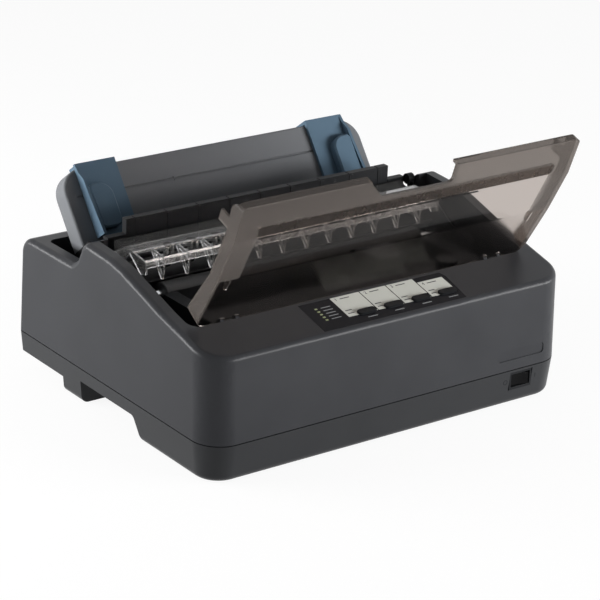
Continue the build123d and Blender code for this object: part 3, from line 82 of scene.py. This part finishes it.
def startMaterial(name, colour, **shader):
    material = bpy.data.materials.new(name)
    material.use_nodes = True
    tree = material.node_tree
    body = tree.nodes["Principled BSDF"]
    body.inputs["Base Color"].default_value = linear(colour)
    for key, value in shader.items():
        body.inputs[key.replace("_", " ")].default_value = value
    material.diffuse_color = linear(colour)
    where = addNode(tree, "ShaderNodeTexCoord").outputs["Object"]
    return material, tree, body, where


def noise(tree, where, grainMm, detail=2.0, roughness=0.5, stretch=(1, 1, 1)):
    # noise whose features are about the given size in millimetres
    mapped = addNode(tree, "ShaderNodeMapping", {"Scale": stretch}, {"Vector": where}).outputs
    values = {"Scale": 1000 / grainMm, "Detail": detail, "Roughness": roughness}
    return addNode(tree, "ShaderNodeTexNoise", values, {"Vector": mapped["Vector"]}).outputs["Fac"]


def spread(tree, factor, low, high, darkHex=None, paleHex=None):
    # maps a noise's middle values to a range of numbers, or a factor from low to high to a range of colours
    if darkHex:
        ramp = addNode(tree, "ShaderNodeMix", data_type="RGBA")
        ramp.inputs[6].default_value = linear(darkHex)
        ramp.inputs[7].default_value = linear(paleHex)
        tree.links.new(remap(tree, factor, {1: low, 2: high}), ramp.inputs[0])
        return ramp.outputs[2]
    return remap(tree, factor, {1: 0.3, 2: 0.7, 3: low, 4: high})


def bump(tree, body, height, strength, distanceMm):
    values = {"Strength": strength, "Distance": distanceMm / 1000}
    made = addNode(tree, "ShaderNodeBump", values, {"Height": height})
    tree.links.new(made.outputs["Normal"], body.inputs["Normal"])


def mouldedAbs(name, look):
    # spark-eroded ABS: matt, a fine even grain, a broad soft sheen that varies a little
    material, tree, body, where = startMaterial(name, look["colour"], IOR=1.54,
                                                Specular_IOR_Level=look.get("gloss", 0.06))
    grain = noise(tree, where, look["grainMm"], detail=1.0)
    cloud = noise(tree, where, grainMm=60.0, detail=3.0)
    tree.links.new(spread(tree, cloud, 0.3, 0.7, look["colour"], look["worn"]), body.inputs["Base Color"])
    rough = spread(tree, cloud, look["rough"] - 0.03, look["rough"] + 0.03)
    tree.links.new(rough, body.inputs["Roughness"])
    bump(tree, body, grain, look["bump"], 0.05)
    return material


def smokedStyrene(name, look):
    # polystyrene tinted grey-brown: a polished window in the middle facet, and elsewhere a fine grain that
    # blurs what is behind it; the upper facet, the side walls and the window's margins are darker and milky
    # styrene's own index of 1.59 would mirror the pale floor, which the fine grain of the real one doesn't
    material, tree, body, where = startMaterial(name, look["colour"], IOR=look["ior"],
                                                Specular_IOR_Level=0.2)
    axes = addNode(tree, "ShaderNodeSeparateXYZ", {}, {"Vector": where}).outputs
    across = calc(tree, "SUBTRACT", {1: caseMiddle[0] / 1000}, {0: axes["X"]})
    across = calc(tree, "ABSOLUTE", {}, {0: across})

    def above(factor, edge):
        return remap(tree, factor, {1: edge, 2: edge + look["fade"]})

    def either(first, second, kind="MAXIMUM"):
        return calc(tree, kind, {}, {0: first, 1: second})

    lower = calc(tree, "SUBTRACT", {0: 1.0}, {1: above(axes["Z"], look["windowLow"])})
    margin = either(above(across, look["windowHalf"]), above(axes["Z"], look["windowLow"]), "MULTIPLY")
    milky = either(either(margin, above(axes["Z"], look["windowTop"])), above(across, look["sideWall"]))
    rough = remap(tree, either(milky, lower), {3: look["rough"], 4: look["grained"]})
    clear = remap(tree, milky, {3: 1.0, 4: 1.0 - look["milk"]})
    tree.links.new(spread(tree, milky, 0.0, 1.0, look["colour"], look["milky"]), body.inputs["Base Color"])
    tree.links.new(rough, body.inputs["Roughness"])
    tree.links.new(clear, body.inputs["Transmission Weight"])
    bump(tree, body, noise(tree, where, grainMm=0.7), 0.1, 0.02)
    return material


def clearStyrene(name, look):
    # clear polystyrene, slightly grey in its thick ribs, bright at its edges
    material, tree, body, where = startMaterial(name, look["colour"], IOR=look.get("ior", 1.5),
                                                Transmission_Weight=look["clear"])
    haze = noise(tree, where, grainMm=9.0)
    tree.links.new(spread(tree, haze, look["rough"], look["rough"] + 0.08), body.inputs["Roughness"])
    return material


def paintedSteel(name, look):
    # sheet steel under a thin black paint: the lines from rolling, along X, show through it
    material, tree, body, where = startMaterial(name, look["colour"], IOR=1.5, Specular_IOR_Level=0.15)
    lines = noise(tree, where, grainMm=0.8, roughness=0.6, stretch=(0.03, 1, 1))
    patches = noise(tree, where, grainMm=9.0, detail=3.0)
    tree.links.new(spread(tree, patches, 0.3, 0.7, look["colour"], look["pale"]), body.inputs["Base Color"])
    rough = spread(tree, lines, look["rough"] - 0.06, look["rough"] + 0.08)
    tree.links.new(rough, body.inputs["Roughness"])
    bump(tree, body, lines, 0.15, 0.03)
    return material


def turnedSteel(name, look):
    # ground steel shaft: rings round it along its length
    material, tree, body, where = startMaterial(name, look["colour"], Metallic=1.0)
    rings = noise(tree, where, grainMm=0.6, detail=1.0, stretch=(1, 0.02, 0.02))
    rough = spread(tree, rings, look["rough"] - 0.05, look["rough"] + 0.05)
    tree.links.new(rough, body.inputs["Roughness"])
    return material


def castAlloy(name, look):
    # die-cast aluminium: dull, with a skin of small pits
    material, tree, body, where = startMaterial(name, look["colour"], Metallic=1.0)
    pits = noise(tree, where, grainMm=1.4, detail=3.0)
    tree.links.new(spread(tree, pits, look["rough"] - 0.06, look["rough"] + 0.08), body.inputs["Roughness"])
    bump(tree, body, pits, 0.3, 0.08)
    return material


def groundRubber(name, look):
    # nitrile rubber, ground to size: black, matt, a fine lay round the roller
    material, tree, body, where = startMaterial(name, look["colour"], IOR=1.52)
    lay = noise(tree, where, grainMm=0.7, stretch=(1, 0.2, 0.2))
    tree.links.new(spread(tree, lay, look["rough"] - 0.05, look["rough"] + 0.06), body.inputs["Roughness"])
    bump(tree, body, lay, 0.2, 0.04)
    return material


def maskedBoard(name, look):
    # glass-fibre board under green solder mask, with a faint weave
    material, tree, body, where = startMaterial(name, look["colour"], IOR=1.5)
    weave = noise(tree, where, grainMm=1.2, detail=1.0)
    tree.links.new(spread(tree, weave, 0.3, 0.7, look["colour"], look["pale"]), body.inputs["Base Color"])
    body.inputs["Roughness"].default_value = look["rough"]
    return material


finishes = {
    "case": mouldedAbs("mouldedCaseAbs", {
        "colour": "#2d2e31", "worn": "#313235", "rough": 0.36, "grainMm": 0.9, "bump": 0.25, "gloss": 0.15}),
    "base": mouldedAbs("mouldedBaseAbs", {
        "colour": "#2a2b2d", "worn": "#2e2f31", "rough": 0.36, "grainMm": 0.9, "bump": 0.25, "gloss": 0.15}),
    # partly painted light: the guide's grey is raised above its plastic's own, standing in for light on its
    # front face, which the lamps leave dim low down
    "guide": mouldedAbs("mouldedGuideAbsWithPaintedLight", {
        "colour": "#6e7073", "worn": "#727477", "rough": 0.5, "grainMm": 0.8, "bump": 0.2}),
    "blue": mouldedAbs("mouldedBlueAbs", {
        "colour": "#566b7c", "worn": "#5a6f80", "rough": 0.45, "grainMm": 0.8, "bump": 0.15}),
    "dark": mouldedAbs("mouldedDarkAbs", {
        "colour": "#1d1e20", "worn": "#212224", "rough": 0.42, "grainMm": 0.8, "bump": 0.15}),
    "rocker": mouldedAbs("polishedBlackAbs", {
        "colour": "#0c0c0d", "worn": "#0e0e0f", "rough": 0.25, "grainMm": 1.5, "bump": 0.03}),
    "white": mouldedAbs("mouldedWhiteAcetal", {
        "colour": "#d8d8d2", "worn": "#cfcfc8", "rough": 0.35, "grainMm": 1.5, "bump": 0.05}),
    "panel": mouldedAbs("glossPanelFilm", {
        "colour": "#1b1c20", "worn": "#1d1e22", "rough": 0.2, "grainMm": 1.5, "bump": 0.02}),
    "smoke": smokedStyrene("smokedStyrene", {
        "colour": "#bfb6b0", "milky": "#807974", "ior": 1.14, "milk": 0.3, "rough": 0.04, "grained": 0.2,
        "windowHalf": 0.14, "windowLow": 0.1572, "windowTop": 0.2037, "sideWall": 0.1573, "fade": 0.0006}),
    # the band's darker tint is partly painted shade along the step behind the upper fold
    "band": clearStyrene("thickStyreneAndPaintedShade", {"colour": "#6a625c", "clear": 0.92, "rough": 0.22}),
    "label": mouldedAbs("printedWhiteLabel", {
        "colour": "#d5d8d2", "worn": "#d0d3cc", "rough": 0.45, "grainMm": 0.6, "bump": 0.03}),
    "ink": mouldedAbs("printedGreyInk", {
        "colour": "#3a3c40", "worn": "#45474b", "rough": 0.5, "grainMm": 0.5, "bump": 0.02}),
    "paleInk": mouldedAbs("printedPaleInk", {
        "colour": "#8d9093", "worn": "#9a9d9f", "rough": 0.5, "grainMm": 0.5, "bump": 0.02}),
    "lamp": clearStyrene("paleGreenLightPipe", {"colour": "#aeb98c", "clear": 0.3, "rough": 0.25}),
    "clear": clearStyrene("clearStyrene", {"colour": "#fafafa", "clear": 0.88, "rough": 0.02}),
    "clearPlate": clearStyrene("clearStyrenePlate", {
        "colour": "#e6e6e4", "clear": 0.97, "rough": 0.02, "ior": 1.12}),
    "sheet": paintedSteel("blackPaintedSteel", {"colour": "#131314", "pale": "#181819", "rough": 0.42}),
    "shaft": turnedSteel("groundShaftSteel", {"colour": "#c4c6c8", "rough": 0.2}),
    "alloy": castAlloy("castHeadAlloy", {"colour": "#a4a5a6", "rough": 0.45}),
    "head": castAlloy("blackAnodisedAlloy", {"colour": "#2c2d30", "rough": 0.5}),
    "rubber": groundRubber("groundBlackRubber", {"colour": "#161617", "rough": 0.6}),
    "board": maskedBoard("maskedGreenBoard", {"colour": "#1f4a34", "pale": "#2a5a40", "rough": 0.4}),
}

nodeFinish = {
    "lower_case": "base", "upper_case": "case", "base_pads": "rubber", "screws": "shaft",
    "chassis_pan": "sheet", "side_frame_left": "sheet", "side_frame_right": "sheet",
    "printer_cover": "smoke", "control_panel_plate": "panel", "button_board": "board",
    "power_switch_body": "dark", "power_switch_rocker": "rocker", "paper_guide": "guide",
    "guide_rod": "shaft", "edge_guide_left": "blue", "edge_guide_right": "blue",
    "paper_separator": "dark", "tear_off_bar": "clearPlate", "eject_guide": "clear",
    "star_wheels": "dark", "star_wheel_holders": "clear", "eject_shaft": "dark",
    "platen_roller": "rubber", "platen_shaft": "shaft", "platen_gear": "white", "platen_knob": "dark",
    "feed_rollers": "rubber", "sheet_chute": "sheet", "eject_idler_gear": "white",
    "feed_idler_gear": "white", "tractor_idler_gear": "white", "feed_motor": "alloy",
    "feed_pinion": "white", "carriage_shaft": "shaft", "carriage_rail": "sheet", "carriage": "dark",
    "print_head": "head", "carriage_motor": "alloy", "drive_pulley": "white", "idler_pulley": "white",
    "timing_belt": "rubber", "ribbon_cartridge": "dark", "ribbon_knob": "dark", "release_lever": "dark",
    "thickness_lever": "dark", "tractor_shaft": "shaft", "tractor_rail": "shaft", "power_inlet": "dark",
    "interface_sockets": "dark", "control_board": "board", "power_supply": "board",
    "panel_button_1": "dark", "panel_button_2": "dark", "panel_button_3": "dark",
    "panel_button_4": "dark", "tractor_unit_left": "dark", "tractor_unit_right": "dark",
    "tractor_lid_left": "dark", "tractor_lid_right": "dark",
}

# edge rounding in mm; pieces not named keep the CAD edges
softEdges = {"paper_separator": 0.4, "ribbon_cartridge": 0.4, "platen_knob": 0.3, "carriage": 0.4,
             "print_head": 0.3, "release_lever": 0.3, "power_switch_body": 0.3, "power_switch_rocker": 0.4,
             "tear_off_bar": 0.3}

# degrees; the cover's folds are shallow and crisp
creaseAngles = {"printer_cover": 2, "eject_guide": 20}
edgeWork = {"weld": 0.00001, "flat": 1.0, "sharp": 40, "crease": 32}


def finishNode(name):
    piece = nodes[name]
    piece.data.materials.clear()
    piece.data.materials.append(finishes[nodeFinish[name]])
    for face in piece.data.polygons:
        face.use_smooth = True
    weld = piece.modifiers.new("weld", "WELD")
    weld.merge_threshold = edgeWork["weld"]
    if name in softEdges:
        flat = piece.modifiers.new("flatten", "DECIMATE")
        flat.decimate_type = "DISSOLVE"
        flat.angle_limit = math.radians(edgeWork["flat"])
        edge = piece.modifiers.new("edge", "BEVEL")
        edge.width = softEdges[name] / 1000
        edge.segments = 2
        edge.limit_method = "ANGLE"
        edge.angle_limit = math.radians(edgeWork["sharp"])
    split = piece.modifiers.new("creases", "EDGE_SPLIT")
    split.split_angle = math.radians(creaseAngles.get(name, edgeWork["crease"]))
    piece.modifiers.new("normals", "WEIGHTED_NORMAL")


for nodeName in nodeFinish:
    finishNode(nodeName)
print("node finishes done")

# ---- new pieces ----


def addPiece(name, made, finish, body):
    # turns a bmesh, drawn in its final place, into a piece that rides on a body
    bmesh.ops.recalc_face_normals(made, faces=made.faces)
    mesh = bpy.data.meshes.new(name)
    made.to_mesh(mesh)
    made.free()
    mesh.materials.append(finishes[finish])
    piece = bpy.data.objects.new(name, mesh)
    bpy.context.scene.collection.objects.link(piece)
    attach(piece, body)
    return piece


# the sloping panel: its front edge, its height there and its slope, then how thick print is on it and
# how far a card, a rule on a card and a figure on a card lie above it
panel = {"front": -134.4, "height": 102.4, "slope": 0.24, "print": 0.06, "card": 0.02, "rule": 0.05,
         "figure": 0.09}


def onPanel(x, y, lift):
    # a matrix whose origin lies on the sloping panel, in case millimetres, with z square to it
    turn = math.atan(panel["slope"])
    height = panel["height"] + panel["slope"] * (y - panel["front"])
    rise = Vector((0, -math.sin(turn), math.cos(turn))) * lift / 1000
    return Matrix.Translation(place(x, y, height) + rise) @ Matrix.Rotation(turn, 4, "X")


def addCard(made, matrix, wide, deep, thick, corner):
    # a flat card with rounded corners, centred on the matrix, added to a bmesh
    card = bmesh.new()
    bmesh.ops.create_grid(card, x_segments=1, y_segments=1, size=0.5)
    bmesh.ops.scale(card, vec=(wide / 1000, deep / 1000, 1), verts=card.verts)
    if corner:
        bmesh.ops.bevel(card, geom=card.verts[:], offset=corner / 1000, segments=4, affect="VERTICES",
                        profile=0.5, material=-1)
    grown = bmesh.ops.extrude_face_region(card, geom=card.faces[:])
    raised = [item for item in grown["geom"] if isinstance(item, bmesh.types.BMVert)]
    bmesh.ops.translate(card, vec=(0, 0, thick / 1000), verts=raised)
    bmesh.ops.transform(card, matrix=matrix, verts=card.verts)
    bmesh.ops.recalc_face_normals(card, faces=card.faces)
    mesh = bpy.data.meshes.new("card")
    card.to_mesh(mesh)
    card.free()
    made.from_mesh(mesh)
    bpy.data.meshes.remove(mesh)


labels = {"edges": (-37.5, -8.8, 17.0, 44.0, 69.6), "front": -121.5, "rear": (-95.4, -95.4, -95.4, -101.0),
          "gap": 0.9, "corner": 0.3, "ruleDeep": 0.9, "title": {"wide": 9, "right": 12, "down": 3.4},
          "notes": {"wide": 6, "right": 5, "up": (8.0, 4.2)}, "figure": {"size": 4.6, "right": 4.2}}


def makeLabels():
    # four pale cells behind the buttons; each holds a number and plain rules
    title, notes = labels["title"], labels["notes"]
    cells, rules = bmesh.new(), bmesh.new()
    for i in range(4):
        x0, x1 = labels["edges"][i] + labels["gap"] / 2, labels["edges"][i + 1] - labels["gap"] / 2
        y0, y1 = labels["front"], labels["rear"][i]
        middle = onPanel((x0 + x1) / 2, (y0 + y1) / 2, panel["card"])
        addCard(cells, middle, x1 - x0, y1 - y0, panel["print"], labels["corner"])
        spots = [(title["wide"], x0 + title["right"], y1 - title["down"])]
        spots += [(notes["wide"], x0 + notes["right"], y0 + rise) for rise in notes["up"]]
        for wide, x, y in spots:
            addCard(rules, onPanel(x, y, panel["rule"]), wide, labels["ruleDeep"], panel["print"], 0)
    addPiece("panel_labels", cells, "label", "case")
    addPiece("panel_label_rules", rules, "ink", "case")


def addFigure(name, text, size, matrix, finish, body):
    # a plain generic character as a thin raised print
    curve = bpy.data.curves.new(name, "FONT")
    curve.body = text
    curve.size = size / 1000
    curve.extrude = 0.00004
    curve.align_x = "CENTER"
    curve.align_y = "CENTER"
    source = bpy.data.objects.new(name + "Source", curve)
    mesh = bpy.data.meshes.new_from_object(source)
    bpy.data.objects.remove(source)
    made = bmesh.new()
    made.from_mesh(mesh)
    bpy.data.meshes.remove(mesh)
    bmesh.ops.transform(made, matrix=matrix, verts=made.verts)
    bmesh.ops.remove_doubles(made, verts=made.verts, dist=0.000001)
    return addPiece(name, made, finish, body)


def makeFigures():
    # the numbers 1 to 4 at the upper left of the cells
    figure = labels["figure"]
    for i in range(4):
        spot = onPanel(labels["edges"][i] + figure["right"], labels["rear"][i] - labels["title"]["down"],
                       panel["figure"])
        number = str(i + 1)
        addFigure("panel_figure_" + number, number, figure["size"], spot, "ink", "case")


lights = {"x": -56.0, "y": -104.0, "step": -3.6, "count": 5, "wide": 2.4, "deep": 1.5, "tall": 0.12,
          "corner": 0.2, "rule": {"wide": 9.0, "deep": 0.8, "right": 9.0}}
buttonRules = {"x": (-17.9, 8.1, 35.2, 61.5), "y": -126.2, "wide": 9.0, "deep": 0.9}


def makeLights():
    # the tops of the light pipes, and a plain pale rule beside each light and below each button
    rule = lights["rule"]
    tops, captions = bmesh.new(), bmesh.new()
    for i in range(lights["count"]):
        y = lights["y"] + lights["step"] * i
        top = onPanel(lights["x"], y, 0.0)
        addCard(tops, top, lights["wide"], lights["deep"], lights["tall"], lights["corner"])
        beside = onPanel(lights["x"] + rule["right"], y, panel["card"])
        addCard(captions, beside, rule["wide"], rule["deep"], panel["print"], 0)
    for x in buttonRules["x"]:
        below = onPanel(x, buttonRules["y"], panel["card"])
        addCard(captions, below, buttonRules["wide"], buttonRules["deep"], panel["print"], 0)
    addPiece("status_light_tops", tops, "lamp", "case")
    addPiece("panel_rules", captions, "paleInk", "case")


makeLabels()
makeFigures()
makeLights()
print("panel print done")

switchMarks = {"y": -137.5, "z": 22.4, "size": 6.0, "lift": 0.02,
               "marks": (("switch_mark_off", "O", 113.2), ("switch_mark_on", "I", 144.4))}
baseDraw = {"in": 3.0, "over": 30.7, "top": 32.2}  # the base draws in towards its foot


def makeSwitchMarks():
    # O and I beside the switch, in a darker print than the base
    lean = math.atan2(baseDraw["in"], baseDraw["over"])
    depth = baseDraw["in"] * (baseDraw["top"] - switchMarks["z"]) / baseDraw["over"]
    for name, text, x in switchMarks["marks"]:
        spot = place(x, switchMarks["y"] + depth - switchMarks["lift"], switchMarks["z"])
        turned = Matrix.Translation(spot) @ Matrix.Rotation(math.radians(90) + lean, 4, "X")
        addFigure(name, text, switchMarks["size"], turned, "dark", "case")


makeSwitchMarks()

# the corners of the open cover's outer face, y and z
coverLine = [(-91.1, 110.7), (-119.556, 156.594), (-139.342, 193.188), (-150.344, 224.087)]
coverBand = {"left": -150.0, "right": 144.0, "low": 32.0, "high": 21.4, "thick": 0.8, "corner": 4.5,
             "behind": 2.4}


def onCover(facet, x, down, depth):
    # a place on a facet of the open cover: across, down from the facet's upper edge, back from its face
    (y0, z0), (y1, z1) = coverLine[facet], coverLine[facet + 1]
    along = Vector((0, y0 - y1, z0 - z1)).normalized()
    inward = Vector((0, -along.z, along.y))
    spot = place(x, y1, z1) + along * down / 1000 + inward * depth / 1000
    basis = Matrix((Vector((1, 0, 0)), -along, -inward)).transposed()
    return Matrix.Translation(spot) @ basis.to_4x4()


def makeCoverBand():
    # the thicker band above the upper fold; its darker tint is partly painted shade, standing in for the
    # shade along the step behind the fold
    look = coverBand
    made = bmesh.new()
    middle = onCover(2, (look["left"] + look["right"]) / 2, (look["low"] + look["high"]) / 2,
                     look["behind"] + look["thick"])
    addCard(made, middle, look["right"] - look["left"], look["low"] - look["high"], look["thick"],
            look["corner"])
    addPiece("cover_band", made, "band", "cover")


makeCoverBand()
print("cover details done")

# ---- camera, light and floor ----

# degrees, and the lens and the camera's place in mm
view = {"yaw": -37.24, "pitch": 21.88, "roll": 2.48, "lens": 153.9, "from": (-1157.0, -1532.0, 841.0)}
yaw, pitch, roll = [math.radians(view[key]) for key in ("yaw", "pitch", "roll")]
back = Vector((math.sin(yaw) * math.cos(pitch), -math.cos(yaw) * math.cos(pitch), math.sin(pitch)))
right = Vector((math.cos(yaw), math.sin(yaw), 0))
up = back.cross(right)
level = right
right = math.cos(roll) * level + math.sin(roll) * up
up = math.cos(roll) * up - math.sin(roll) * level
cameraData = bpy.data.cameras.new("camera")
cameraData.lens = view["lens"]
cameraData.sensor_width = 36
cameraData.clip_start = 0.05
cameraData.clip_end = 50
camera = bpy.data.objects.new("camera", cameraData)
bpy.context.scene.collection.objects.link(camera)
turned = Matrix((right, up, back)).transposed().to_4x4()
camera.matrix_world = Matrix.Translation(place(*view["from"])) @ turned
bpy.context.scene.camera = camera

# watts, then metres
lamps = {
    "leftLamp": {"power": 16.0, "size": (0.9, 0.35), "at": (-0.95, 0.6, 0.22), "towards": (0, 0.16, 0.1)},
    "rightLamp": {"power": 41.0, "size": (1.5, 0.5), "at": (1.1, -1.3, 0.28), "towards": (0, 0, 0.08)},
    "topLamp": {"power": 1.2, "size": (1.6, 0.8), "at": (0.1, 0.9, 1.5), "towards": (0, 0, 0.1)},
}
backdrop = {"colour": "#fdfdfe", "light": 0.16}


def softLamp(name, look):
    lamp = bpy.data.lights.new(name, "AREA")
    lamp.energy = look["power"]
    lamp.shape = "RECTANGLE"
    lamp.size, lamp.size_y = look["size"]
    made = bpy.data.objects.new(name, lamp)
    bpy.context.scene.collection.objects.link(made)
    at, towards = Vector(look["at"]), Vector(look["towards"])
    made.matrix_world = Matrix.LocRotScale(at, (towards - at).to_track_quat("-Z", "Y"), None)


for lampName, lampLook in lamps.items():
    softLamp(lampName, lampLook)


def makeBackdrop():
    # white where it is seen, dimmer as a light
    world = bpy.data.worlds.new("studioWorld")
    bpy.context.scene.world = world
    world.use_nodes = True
    tree = world.node_tree
    shade = tree.nodes["Background"]
    shade.inputs["Color"].default_value = linear(backdrop["colour"])
    strength = remap(tree, seenDirectly(tree), {3: backdrop["light"], 4: 1.0})
    tree.links.new(strength, shade.inputs["Strength"])


makeBackdrop()

floorLook = {"half": 6.0, "own": 0.84, "strength": 1.08, "colour": "#f4f4f4"}


def makeFloor():
    mesh = bpy.data.meshes.new("floor")
    made = bmesh.new()
    bmesh.ops.create_grid(made, x_segments=1, y_segments=1, size=floorLook["half"])
    made.to_mesh(mesh)
    made.free()
    floor = bpy.data.objects.new("floor", mesh)
    bpy.context.scene.collection.objects.link(floor)
    # matt white paper; part of its white is its own, so that it stays white and keeps a faint shadow
    material, tree, body, where = startMaterial("studioPaper", floorLook["colour"], Roughness=0.9,
                                                Specular_IOR_Level=0.0)
    share = remap(tree, seenDirectly(tree), {4: floorLook["own"]})
    white = {"Color": linear("#ffffff"), "Strength": floorLook["strength"]}
    glow = addNode(tree, "ShaderNodeEmission", white).outputs[0]
    mixed = addNode(tree, "ShaderNodeMixShader", {}, {0: share, 1: body.outputs[0], 2: glow}).outputs[0]
    tree.links.new(mixed, tree.nodes["Material Output"].inputs["Surface"])
    mesh.materials.append(material)


makeFloor()
bpy.context.scene.view_settings.view_transform = "Standard"
print("camera and light done")
